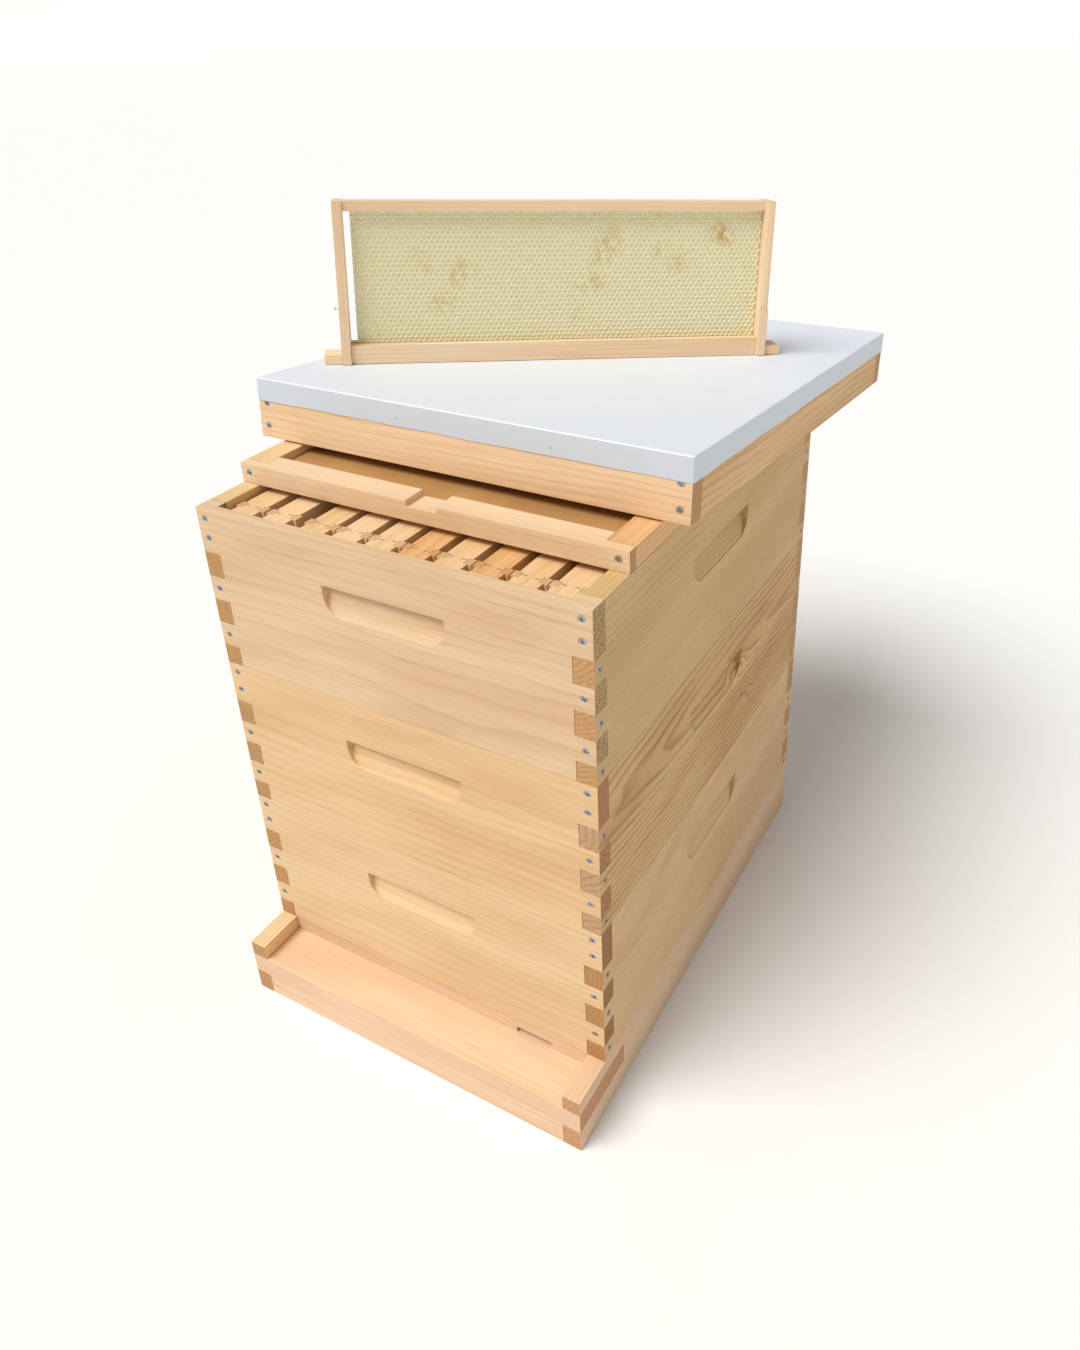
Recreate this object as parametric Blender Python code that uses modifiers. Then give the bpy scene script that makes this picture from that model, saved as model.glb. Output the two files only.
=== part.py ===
"""A ten-frame beehive: bottom board, three supers with frames, inner cover, outer cover.

Run with: blender --background --python part.py
Units are metres. +Z is up and -Y is the front, where the bees go in. The origin is under
the middle of the whole hive, on the ground.
"""

import math

import bmesh
import bpy
from mathutils import Matrix, Vector

# Clearances
GAP = 0.0003                # between two faces that touch
SLIDING_GAP = 0.0006        # round the entrance reducer, which slides

# Supers: three boxes of the same size, each of four boards with box joints
BOX_WIDTH = 0.41275
BOX_DEPTH = 0.5048
BOX_HEIGHT = 0.1683
BOARD = 0.01905
FINGER = 0.0254
LOWEST_FINGER = 0.0211
RABBET_WIDTH = 0.0095
SUPER_NAMES = ("lower", "middle", "upper")

# Handhold milled into the outside of every super board
HANDHOLD_WIDTH = 0.131
HANDHOLD_HEIGHT = 0.0305
HANDHOLD_DROP = 0.0468      # from the super's rim to the handhold's ledge
HANDHOLD_LIP = 0.0005
HANDHOLD_TILT = math.radians(20)
HANDHOLD_CORNER = 0.020
CORNER_SEGMENTS = 9

# Bottom board
LANDING = 0.0505
ENTRANCE_HEIGHT = 0.018
FLOOR_THICKNESS = 0.024
APRON_HEIGHT = 0.0265
FRONT_FLOOR_DEPTH = 0.089
DADO_DEPTH = 0.0095
REDUCER_DEPTH = 0.019
REDUCER_SETBACK = 0.001
BEE_SLOT_WIDTH = 0.040
BEE_SLOT_HEIGHT = 0.007
BEE_SLOT_X = 0.125

# Frames
FRAME_DROP = 0.0064         # top bars below the super's rim
FRAME_LIFT = 0.0032         # bottom bars above the super's lower edge
BEE_SPACE = 0.0094          # end bars from the front and rear boards
LUG_PLAY = 0.0015
LUG_THICKNESS = 0.0095
TOP_BAR_THICKNESS = 0.01905
TOP_BAR_SHOULDER = 0.0039   # each end-bar prong beside the top bar
END_BAR_THICKNESS = 0.0095
END_BAR_STEP = 0.0032
END_BAR_WIDE_HEIGHT = 0.050
BOTTOM_BAR_WIDTH = 0.019
BOTTOM_BAR_THICKNESS = 0.0095
FOUNDATION_THICKNESS = 0.0048
GROOVE_DEPTH = 0.0045
FUSED_OVERLAP = 0.0002      # neighbouring end bars in the fused lower frame sets
# From the left wall, between each pair of frames, to the right wall
FRAME_GAPS = (0.0014, 0.0035, 0.0102) + 8 * (0.0013,)

# Inner cover
INNER_THICKNESS = 0.020
INNER_RAIL = 0.0257
INNER_LIP = 0.0103          # end rail left standing in front of each side rail
INNER_SLIDE = 0.0611        # pushed back from the front of the super
INNER_NOTCH_WIDTH = 0.032
INNER_NOTCH_DEPTH = 0.006
INNER_NOTCH_X = 0.0047
PANEL_THICKNESS = 0.0056
PANEL_BASE = 0.0064
PANEL_TONGUE = 0.006
BEE_HOLE_LENGTH = 0.095
BEE_HOLE_WIDTH = 0.032
BEE_HOLE_SEGMENTS = 24

# Outer cover
COVER_PLAY_X = 0.0066
COVER_PLAY_Y = 0.008
COVER_RIM = 0.039
COVER_BOARD = 0.019
COVER_REST = 0.1372         # from the super's front to where the front rim rests
SHEET = 0.0006
SHEET_FOLD = 0.022

# Spare frame, standing upside down on the cover
SPARE_X = -0.0304
SPARE_Y = -0.0445
SPARE_TURN = math.radians(39)
SPARE_SHORT = 0.0065        # foundation short of the left end bar

# Sizes worked out from those above
HALF_WIDTH = BOX_WIDTH / 2
HALF_DEPTH = BOX_DEPTH / 2
INNER_HALF_WIDTH = HALF_WIDTH - BOARD
BOARD_FRONT = -HALF_DEPTH - LANDING
FLOOR_TOP = APRON_HEIGHT + FLOOR_THICKNESS
STAND_HEIGHT = FLOOR_TOP + ENTRANCE_HEIGHT
FRAME_COUNT = len(FRAME_GAPS) - 1
END_BAR_WIDTH = (2 * INNER_HALF_WIDTH - sum(FRAME_GAPS)) / FRAME_COUNT
FRAME_HEIGHT = BOX_HEIGHT - FRAME_DROP - FRAME_LIFT
TOP_BAR_WIDTH = END_BAR_WIDTH - 2 * TOP_BAR_SHOULDER
END_BAR_OUTER = HALF_DEPTH - BOARD - BEE_SPACE
END_BAR_INNER = END_BAR_OUTER - END_BAR_THICKNESS
LUG_END = HALF_DEPTH - BOARD + RABBET_WIDTH - LUG_PLAY
RABBET_DROP = FRAME_DROP + LUG_THICKNESS + GAP
COVER_HALF_WIDTH = HALF_WIDTH + COVER_PLAY_X + BOARD
COVER_HALF_LENGTH = HALF_DEPTH + COVER_PLAY_Y + BOARD


def clear_scene():
    for item in list(bpy.data.objects):
        bpy.data.objects.remove(item, do_unlink=True)


def add_collection(name):
    collection = bpy.data.collections.new(name)
    bpy.context.scene.collection.children.link(collection)
    return collection


def add_material(name, colour, roughness, metallic=0.0):
    material = bpy.data.materials.new(name)
    material.use_nodes = True
    shader = material.node_tree.nodes["Principled BSDF"]
    shader.inputs["Base Color"].default_value = (*colour, 1.0)
    shader.inputs["Roughness"].default_value = roughness
    shader.inputs["Metallic"].default_value = metallic
    return material


clear_scene()
HIVE = add_collection("beehive")
CUTTERS = add_collection("cutters")
PINE = add_material("pine", (0.80, 0.62, 0.40), 0.6)
FRAME_PINE = add_material("frame_pine", (0.83, 0.66, 0.45), 0.6)
HARDBOARD = add_material("hardboard", (0.50, 0.32, 0.15), 0.55)
GALVANISED = add_material("galvanised_sheet", (0.80, 0.83, 0.87), 0.35, 0.8)
WAXED_PLASTIC = add_material("waxed_foundation", (0.78, 0.74, 0.45), 0.45)


def add_empty(name, parent=None, location=(0, 0, 0), rotation=(0, 0, 0)):
    empty = bpy.data.objects.new(name, None)
    HIVE.objects.link(empty)
    empty.parent = parent
    empty.location = location
    empty.rotation_euler = rotation
    return empty


def add_piece(name, mesh, material, parent, location=(0, 0, 0)):
    """Put a mesh in the hive as one named piece."""
    piece = bpy.data.objects.new(name, mesh)
    HIVE.objects.link(piece)
    if not mesh.materials:
        mesh.materials.append(material)
    piece.parent = parent
    piece.location = location
    return piece


def box_mesh(name, low, high):
    """A box between two corners, as a mesh about its own middle, and that middle."""
    low = Vector(low)
    high = Vector(high)
    form = bmesh.new()
    bmesh.ops.create_cube(form, size=1.0)
    bmesh.ops.scale(form, vec=high - low, verts=form.verts)
    mesh = bpy.data.meshes.new(name)
    form.to_mesh(mesh)
    form.free()
    return mesh, (low + high) / 2


def add_box(name, low, high, material, parent):
    mesh, middle = box_mesh(name, low, high)
    return add_piece(name, mesh, material, parent, middle)


def hide_cutter(cutter):
    HIVE.objects.unlink(cutter)
    CUTTERS.objects.link(cutter)
    cutter.hide_render = True
    cutter.display_type = 'WIRE'
    return cutter


def add_boolean(piece, tool, operation):
    modifier = piece.modifiers.new(tool.name, 'BOOLEAN')
    modifier.object = tool
    modifier.operation = operation
    modifier.solver = 'EXACT'


def cut_box(piece, low, high, parent):
    """Cut the box between two corners out of a piece."""
    name = piece.name + "_cut_" + str(len(piece.modifiers))
    cutter = hide_cutter(add_box(name, low, high, piece.data.materials[0], parent))
    add_boolean(piece, cutter, 'DIFFERENCE')


def join_box(piece, low, high, parent):
    """Join the box between two corners to a piece."""
    name = piece.name + "_join_" + str(len(piece.modifiers))
    tool = hide_cutter(add_box(name, low, high, piece.data.materials[0], parent))
    add_boolean(piece, tool, 'UNION')


def finished_mesh(piece):
    """The piece's mesh, modifiers applied, in its parent's space; the piece is removed."""
    scene_now = bpy.context.evaluated_depsgraph_get()
    mesh = bpy.data.meshes.new_from_object(piece.evaluated_get(scene_now))
    mesh.transform(Matrix.Translation(piece.location))
    for modifier in piece.modifiers:
        bpy.data.objects.remove(modifier.object, do_unlink=True)
    bpy.data.objects.remove(piece, do_unlink=True)
    return mesh


# Bottom board ---------------------------------------------------------------------------

def add_rail(side, name, parent):
    """A side rail, grooved for the floor boards and notched through for the front one."""
    outer = side * HALF_WIDTH
    inner = side * INNER_HALF_WIDTH
    groove = side * (INNER_HALF_WIDTH + DADO_DEPTH)
    past = side * (HALF_WIDTH + BOARD)
    low_x, high_x = sorted((inner, outer))
    rail = add_box(name, (low_x, BOARD_FRONT, 0), (high_x, HALF_DEPTH, STAND_HEIGHT), PINE, parent)
    groove_low = APRON_HEIGHT - GAP
    groove_high = FLOOR_TOP + GAP
    cut_low, cut_high = sorted((inner - side * BOARD, groove))
    cut_box(rail, (cut_low, BOARD_FRONT - BOARD, groove_low),
            (cut_high, HALF_DEPTH + BOARD, groove_high), parent)
    cut_low, cut_high = sorted((inner - side * BOARD, past))
    notch_end = BOARD_FRONT + FRONT_FLOOR_DEPTH + GAP
    cut_box(rail, (cut_low, BOARD_FRONT - BOARD, groove_low),
            (cut_high, notch_end, groove_high), parent)


def add_bottom_board(parent):
    add_rail(-1, "bottom_rail_left", parent)
    add_rail(1, "bottom_rail_right", parent)
    tongue = INNER_HALF_WIDTH + DADO_DEPTH - GAP
    between = INNER_HALF_WIDTH - GAP
    front_end = BOARD_FRONT + FRONT_FLOOR_DEPTH
    middle_end = (front_end + HALF_DEPTH) / 2
    floors = (
        ("bottom_floor_front", HALF_WIDTH, BOARD_FRONT, front_end),
        ("bottom_floor_middle", tongue, front_end + GAP, middle_end - GAP / 2),
        ("bottom_floor_rear", tongue, middle_end + GAP / 2, HALF_DEPTH),
    )
    for name, reach, start, end in floors:
        add_box(name, (-reach, start, APRON_HEIGHT), (reach, end, FLOOR_TOP), PINE, parent)
    add_box("bottom_apron", (-between, BOARD_FRONT, 0),
            (between, BOARD_FRONT + BOARD, APRON_HEIGHT - GAP), PINE, parent)
    add_box("bottom_rear_cleat", (-between, HALF_DEPTH - BOARD, FLOOR_TOP + GAP),
            (between, HALF_DEPTH, STAND_HEIGHT), PINE, parent)


def add_entrance_reducer(parent):
    reach = INNER_HALF_WIDTH - SLIDING_GAP
    front = -HALF_DEPTH + REDUCER_SETBACK
    base = FLOOR_TOP + GAP
    strip = add_box("entrance_reducer", (-reach, front, base),
                    (reach, front + REDUCER_DEPTH, STAND_HEIGHT - GAP), PINE, parent)
    cut_box(strip, (BEE_SLOT_X - BEE_SLOT_WIDTH / 2, front - BOARD, base - BOARD),
            (BEE_SLOT_X + BEE_SLOT_WIDTH / 2, front + 2 * BOARD, base + BEE_SLOT_HEIGHT), parent)


# Supers ---------------------------------------------------------------------------------

def finger_edges():
    """Heights of the box joint's edges above the super's base, from the rim down.

    The lowest finger has its own height, and the one at the rim takes what is left."""
    heights = [BOX_HEIGHT]
    even_edges = int((BOX_HEIGHT - LOWEST_FINGER) / FINGER)
    for count in reversed(range(even_edges)):
        heights.append(LOWEST_FINGER + count * FINGER)
    heights.append(0.0)
    return heights


def handhold_mesh():
    """A cutter whose floor is its +Y face: square ledge at the top, round lower corners."""
    floor_rise = HANDHOLD_HEIGHT - HANDHOLD_LIP * math.tan(HANDHOLD_TILT)
    floor_length = floor_rise * math.cos(HANDHOLD_TILT)
    form = bmesh.new()
    bmesh.ops.create_cube(form, size=1.0)
    bmesh.ops.scale(form, vec=(HANDHOLD_WIDTH, 2 * BOARD, floor_length), verts=form.verts)
    bmesh.ops.translate(form, vec=(0, -BOARD, floor_length / 2), verts=form.verts)
    lower = []
    for edge in form.edges:
        start, end = (vert.co for vert in edge.verts)
        along_depth = abs(start.y - end.y) > BOARD
        if along_depth and start.z < floor_length / 2:
            lower.append(edge)
    bmesh.ops.bevel(form, geom=lower, offset=HANDHOLD_CORNER, segments=CORNER_SEGMENTS,
                    profile=0.5, affect='EDGES', material=-1)
    mesh = bpy.data.meshes.new("handhold")
    form.to_mesh(mesh)
    form.free()
    return mesh


def cut_handhold(board, base, face, turn, parent):
    """Mill a handhold whose mouth is at the given distance out, turned about Z."""
    cutter = add_piece(board.name + "_handhold", handhold_mesh(), PINE, parent)
    ledge = base + BOX_HEIGHT - HANDHOLD_DROP
    inward = Matrix.Translation((0, -face + HANDHOLD_LIP, ledge - HANDHOLD_HEIGHT))
    tilt = Matrix.Rotation(-HANDHOLD_TILT, 4, 'X')
    cutter.matrix_basis = Matrix.Rotation(turn, 4, 'Z') @ inward @ tilt
    add_boolean(board, hide_cutter(cutter), 'DIFFERENCE')


def notch_fingers(board, first, base, notches, parent):
    """Cut every other finger, from the one numbered first, out of a board's ends."""
    heights = finger_edges()
    for index in range(first, len(heights) - 1, 2):
        top = base + heights[index] + GAP / 2
        bottom = base + heights[index + 1] - GAP / 2
        if index == 0:
            top += BOARD
        if index == len(heights) - 2:
            bottom -= BOARD
        for (low_x, low_y), (high_x, high_y) in notches:
            cut_box(board, (low_x, low_y, bottom), (high_x, high_y, top), parent)


def add_end_board(side, name, base, parent):
    """The front (side -1) or rear board, with the ledge that the frames hang on."""
    outer = side * HALF_DEPTH
    inner = side * (HALF_DEPTH - BOARD)
    low_y, high_y = sorted((outer, inner))
    board = add_box(name, (-HALF_WIDTH, low_y, base), (HALF_WIDTH, high_y, base + BOX_HEIGHT),
                    PINE, parent)
    ledge_low, ledge_high = sorted((inner + side * RABBET_WIDTH, inner - side * BOARD))
    cut_box(board, (-INNER_HALF_WIDTH, ledge_low, base + BOX_HEIGHT - RABBET_DROP),
            (INNER_HALF_WIDTH, ledge_high, base + BOX_HEIGHT + BOARD), parent)
    shoulder = INNER_HALF_WIDTH - GAP
    past = HALF_WIDTH + BOARD
    notches = []
    for low_x, high_x in ((-past, -shoulder), (shoulder, past)):
        notches.append(((low_x, low_y - BOARD), (high_x, high_y + BOARD)))
    notch_fingers(board, 1, base, notches, parent)
    cut_handhold(board, base, HALF_DEPTH, 0 if side < 0 else math.pi, parent)


def add_side_board(side, name, base, parent):
    outer = side * HALF_WIDTH
    inner = side * INNER_HALF_WIDTH
    low_x, high_x = sorted((outer, inner))
    board = add_box(name, (low_x, -HALF_DEPTH, base), (high_x, HALF_DEPTH, base + BOX_HEIGHT),
                    PINE, parent)
    shoulder = HALF_DEPTH - BOARD - GAP
    past = HALF_DEPTH + BOARD
    notches = []
    for low_y, high_y in ((-past, -shoulder), (shoulder, past)):
        notches.append(((low_x - BOARD, low_y), (high_x + BOARD, high_y)))
    notch_fingers(board, 0, base, notches, parent)
    cut_handhold(board, base, HALF_WIDTH, side * math.pi / 2, parent)


def add_super(level, base, parent):
    name = SUPER_NAMES[level] + "_super_"
    add_end_board(-1, name + "front", base, parent)
    add_end_board(1, name + "rear", base, parent)
    add_side_board(-1, name + "left", base, parent)
    add_side_board(1, name + "right", base, parent)


# Frames, with their length along Y and the middle of the top bar's top at the origin ------

def frame_wood_mesh():
    """Top bar with lugs, two end bars and bottom bar, glued into one frame."""
    wood = add_box("frame_wood", (-TOP_BAR_WIDTH / 2, -LUG_END, -LUG_THICKNESS),
                   (TOP_BAR_WIDTH / 2, LUG_END, 0), FRAME_PINE, None)
    join_box(wood, (-TOP_BAR_WIDTH / 2, -END_BAR_OUTER, -TOP_BAR_THICKNESS),
             (TOP_BAR_WIDTH / 2, END_BAR_OUTER, -LUG_THICKNESS / 2), None)
    join_box(wood, (-BOTTOM_BAR_WIDTH / 2, -END_BAR_OUTER, -FRAME_HEIGHT),
             (BOTTOM_BAR_WIDTH / 2, END_BAR_OUTER, -FRAME_HEIGHT + BOTTOM_BAR_THICKNESS), None)
    narrow = END_BAR_WIDTH / 2 - END_BAR_STEP
    for side in (-1, 1):
        low_y, high_y = sorted((side * END_BAR_INNER, side * END_BAR_OUTER))
        join_box(wood, (-END_BAR_WIDTH / 2, low_y, -END_BAR_WIDE_HEIGHT),
                 (END_BAR_WIDTH / 2, high_y, -GAP), None)
        join_box(wood, (-narrow, low_y, -FRAME_HEIGHT), (narrow, high_y, -END_BAR_WIDE_HEIGHT / 2), None)
    cut_groove(wood, -TOP_BAR_THICKNESS, 1, None)
    cut_groove(wood, -FRAME_HEIGHT + BOTTOM_BAR_THICKNESS, -1, None)
    return finished_mesh(wood)


def cut_groove(bar, face, into, parent):
    """Groove a bar for the foundation's edge, from its face into the wood."""
    width = FOUNDATION_THICKNESS / 2 + GAP
    low, high = sorted((face - into * GROOVE_DEPTH / 2, face + into * GROOVE_DEPTH))
    cut_box(bar, (-width, -END_BAR_INNER, low), (width, END_BAR_INNER, high), parent)


def foundation_corners(short=0.0):
    """Low and high corners of a foundation sheet, short of the -Y end bar if asked."""
    top = -TOP_BAR_THICKNESS + GROOVE_DEPTH - GAP
    bottom = -FRAME_HEIGHT + BOTTOM_BAR_THICKNESS - GROOVE_DEPTH + GAP
    half = FOUNDATION_THICKNESS / 2
    return (-half, -END_BAR_INNER + GAP + short, bottom), (half, END_BAR_INNER - GAP, top)


def frame_places():
    """Middle of each frame across the super, from left to right."""
    places = []
    edge = -INNER_HALF_WIDTH
    for space in FRAME_GAPS[:-1]:
        edge += space
        places.append(edge + END_BAR_WIDTH / 2)
        edge += END_BAR_WIDTH
    return places


def add_hanging_frames(rim, parent):
    """The upper super's frames, each a wooden frame with its sheet of foundation."""
    wood = frame_wood_mesh()
    foundation, middle = box_mesh("frame_foundation", *foundation_corners())
    for number, place in enumerate(frame_places(), start=1):
        hanger = add_empty("frame_%02d" % number, parent, (place, 0, rim - FRAME_DROP))
        add_piece("upper_frame_%02d_wood" % number, wood, FRAME_PINE, hanger)
        add_piece("upper_frame_%02d_foundation" % number, foundation, WAXED_PLASTIC, hanger, middle)


def add_frame_set(name, rim, parent):
    """Ten frames pushed together, fused into one solid with their foundation."""
    hanger = add_empty(name + "_hanger", parent, (0, 0, rim - FRAME_DROP))
    pitch = END_BAR_WIDTH - FUSED_OVERLAP
    places = [(number - (FRAME_COUNT - 1) / 2) * pitch for number in range(FRAME_COUNT)]
    reach = places[-1] + END_BAR_WIDTH / 2
    frames = add_box(name, (-reach, -END_BAR_OUTER, -FRAME_HEIGHT),
                     (reach, -END_BAR_INNER, -GAP), FRAME_PINE, hanger)
    join_box(frames, (-reach, END_BAR_INNER, -FRAME_HEIGHT), (reach, END_BAR_OUTER, -GAP), hanger)
    top_sheet = -TOP_BAR_THICKNESS + GROOVE_DEPTH
    low_sheet = -FRAME_HEIGHT + BOTTOM_BAR_THICKNESS / 2
    sheet_half = FOUNDATION_THICKNESS / 2
    inside = (END_BAR_INNER + END_BAR_OUTER) / 2
    for place in places:
        left = place - TOP_BAR_WIDTH / 2
        right = place + TOP_BAR_WIDTH / 2
        join_box(frames, (left, -LUG_END, -LUG_THICKNESS), (right, LUG_END, 0), hanger)
        join_box(frames, (left, -inside, -TOP_BAR_THICKNESS), (right, inside, -LUG_THICKNESS / 2), hanger)
        join_box(frames, (place - BOTTOM_BAR_WIDTH / 2, -inside, -FRAME_HEIGHT),
                 (place + BOTTOM_BAR_WIDTH / 2, inside, -FRAME_HEIGHT + BOTTOM_BAR_THICKNESS), hanger)
        join_box(frames, (place - sheet_half, -inside, low_sheet),
                 (place + sheet_half, inside, top_sheet), hanger)
    for left_place, right_place in zip(places, places[1:]):
        boundary = (left_place + right_place) / 2
        cut_box(frames, (boundary - END_BAR_STEP, -HALF_DEPTH, -FRAME_HEIGHT - BOARD),
                (boundary + END_BAR_STEP, HALF_DEPTH, -END_BAR_WIDE_HEIGHT), hanger)
    mesh = finished_mesh(frames)
    add_piece(name, mesh, FRAME_PINE, hanger)


# Inner cover ----------------------------------------------------------------------------

def cut_panel_groove(rail, low, high, parent):
    cut_box(rail, (*low, PANEL_BASE - GAP), (*high, PANEL_BASE + PANEL_THICKNESS + GAP), parent)


def add_inner_cover(base, parent):
    """Four rails round a thin panel; the end rails lap over the side rails' ends."""
    frame = add_empty("inner_cover", parent, (0, INNER_SLIDE, base))
    inside_x = HALF_WIDTH - INNER_RAIL
    inside_y = HALF_DEPTH - INNER_RAIL
    groove_x = inside_x + PANEL_TONGUE
    groove_y = inside_y + PANEL_TONGUE
    for side, name in ((-1, "front"), (1, "rear")):
        low_y, high_y = sorted((side * inside_y, side * HALF_DEPTH))
        rail = add_box("inner_cover_%s_rail" % name, (-HALF_WIDTH, low_y, 0),
                       (HALF_WIDTH, high_y, INNER_THICKNESS), PINE, frame)
        lap_low, lap_high = sorted((side * (HALF_DEPTH - INNER_LIP), side * (inside_y - BOARD)))
        for left, right in ((-HALF_WIDTH - BOARD, -inside_x), (inside_x, HALF_WIDTH + BOARD)):
            cut_box(rail, (left, lap_low, -BOARD), (right, lap_high, INNER_THICKNESS + BOARD), frame)
        slot_low, slot_high = sorted((side * groove_y, side * (inside_y - BOARD)))
        cut_panel_groove(rail, (-HALF_WIDTH, slot_low), (HALF_WIDTH, slot_high), frame)
        if side < 0:
            cut_box(rail, (INNER_NOTCH_X - INNER_NOTCH_WIDTH / 2, low_y - BOARD,
                           INNER_THICKNESS - INNER_NOTCH_DEPTH),
                    (INNER_NOTCH_X + INNER_NOTCH_WIDTH / 2, high_y + BOARD,
                     INNER_THICKNESS + BOARD), frame)
    rail_end = HALF_DEPTH - INNER_LIP - GAP
    for side, name in ((-1, "left"), (1, "right")):
        low_x, high_x = sorted((side * (inside_x + GAP), side * HALF_WIDTH))
        rail = add_box("inner_cover_%s_rail" % name, (low_x, -rail_end, 0),
                       (high_x, rail_end, INNER_THICKNESS), PINE, frame)
        slot_low, slot_high = sorted((side * groove_x, side * (inside_x - BOARD)))
        cut_panel_groove(rail, (slot_low, -HALF_DEPTH), (slot_high, HALF_DEPTH), frame)
    edge_x = groove_x - GAP
    edge_y = groove_y - GAP
    panel = add_box("inner_cover_panel", (-edge_x, -edge_y, PANEL_BASE),
                    (edge_x, edge_y, PANEL_BASE + PANEL_THICKNESS), HARDBOARD, frame)
    hole = hide_cutter(add_piece("bee_hole", bee_hole_mesh(), HARDBOARD, frame))
    add_boolean(panel, hole, 'DIFFERENCE')
    return frame


def bee_hole_mesh():
    """A tall plug with round ends, for the hole in the middle of the panel."""
    form = bmesh.new()
    bmesh.ops.create_cone(form, cap_ends=True, segments=BEE_HOLE_SEGMENTS,
                          radius1=BEE_HOLE_WIDTH / 2, radius2=BEE_HOLE_WIDTH / 2,
                          depth=4 * INNER_THICKNESS)
    half_step = Matrix.Rotation(math.pi / BEE_HOLE_SEGMENTS, 3, 'Z')
    bmesh.ops.rotate(form, cent=(0, 0, 0), matrix=half_step, verts=form.verts)
    stretch = (BEE_HOLE_LENGTH - BEE_HOLE_WIDTH) / 2
    for vert in form.verts:
        vert.co.y += math.copysign(stretch, vert.co.y)
    mesh = bpy.data.meshes.new("bee_hole")
    form.to_mesh(mesh)
    form.free()
    return mesh


# Outer cover ----------------------------------------------------------------------------

def add_outer_cover(inner_top, parent):
    """Rim, boards and folded sheet, leaning back: its front rim rests on the inner cover,
    and the underside of its boards rests on the inner cover's rear edge."""
    front_rest = -HALF_DEPTH + COVER_REST
    rear_rest = INNER_SLIDE + HALF_DEPTH
    hollow = COVER_RIM + GAP
    lean = math.asin(hollow / (rear_rest - front_rest))
    edge = add_empty("outer_cover_edge", parent, (0, front_rest, inner_top + GAP), (-lean, 0, 0))
    middle = COVER_HALF_LENGTH - BOARD
    cover = add_empty("outer_cover", edge, (0, middle, 0))
    for side, name in ((-1, "front"), (1, "rear")):
        low_y, high_y = sorted((side * COVER_HALF_LENGTH, side * (COVER_HALF_LENGTH - BOARD)))
        add_box("outer_cover_%s_rim" % name, (-COVER_HALF_WIDTH, low_y, 0),
                (COVER_HALF_WIDTH, high_y, COVER_RIM), PINE, cover)
    reach = COVER_HALF_LENGTH - BOARD - GAP
    for side, name in ((-1, "left"), (1, "right")):
        low_x, high_x = sorted((side * COVER_HALF_WIDTH, side * (COVER_HALF_WIDTH - BOARD)))
        add_box("outer_cover_%s_rim" % name, (low_x, -reach, 0), (high_x, reach, COVER_RIM),
                PINE, cover)
    board_top = hollow + COVER_BOARD
    add_box("outer_cover_top_board", (-COVER_HALF_WIDTH, -COVER_HALF_LENGTH, hollow),
            (COVER_HALF_WIDTH, COVER_HALF_LENGTH, board_top), PINE, cover)
    add_sheet(board_top + GAP, cover)
    return cover, board_top + GAP + SHEET


def add_sheet(underside, parent):
    """A shallow tray of galvanised sheet, upside down over the cover's boards."""
    form = bmesh.new()
    bmesh.ops.create_cube(form, size=1.0)
    lowest = min(form.faces, key=lambda face: face.calc_center_median().z)
    bmesh.ops.delete(form, geom=[lowest], context='FACES_ONLY')
    size = (2 * (COVER_HALF_WIDTH + GAP), 2 * (COVER_HALF_LENGTH + GAP), SHEET_FOLD)
    bmesh.ops.scale(form, vec=size, verts=form.verts)
    mesh = bpy.data.meshes.new("outer_cover_sheet")
    form.to_mesh(mesh)
    form.free()
    sheet = add_piece("outer_cover_sheet", mesh, GALVANISED, parent, (0, 0, underside - SHEET_FOLD / 2))
    shell = sheet.modifiers.new("wall", 'SOLIDIFY')
    shell.thickness = SHEET
    shell.offset = 1.0
    shell.use_even_offset = True


# Spare frame ----------------------------------------------------------------------------

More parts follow.
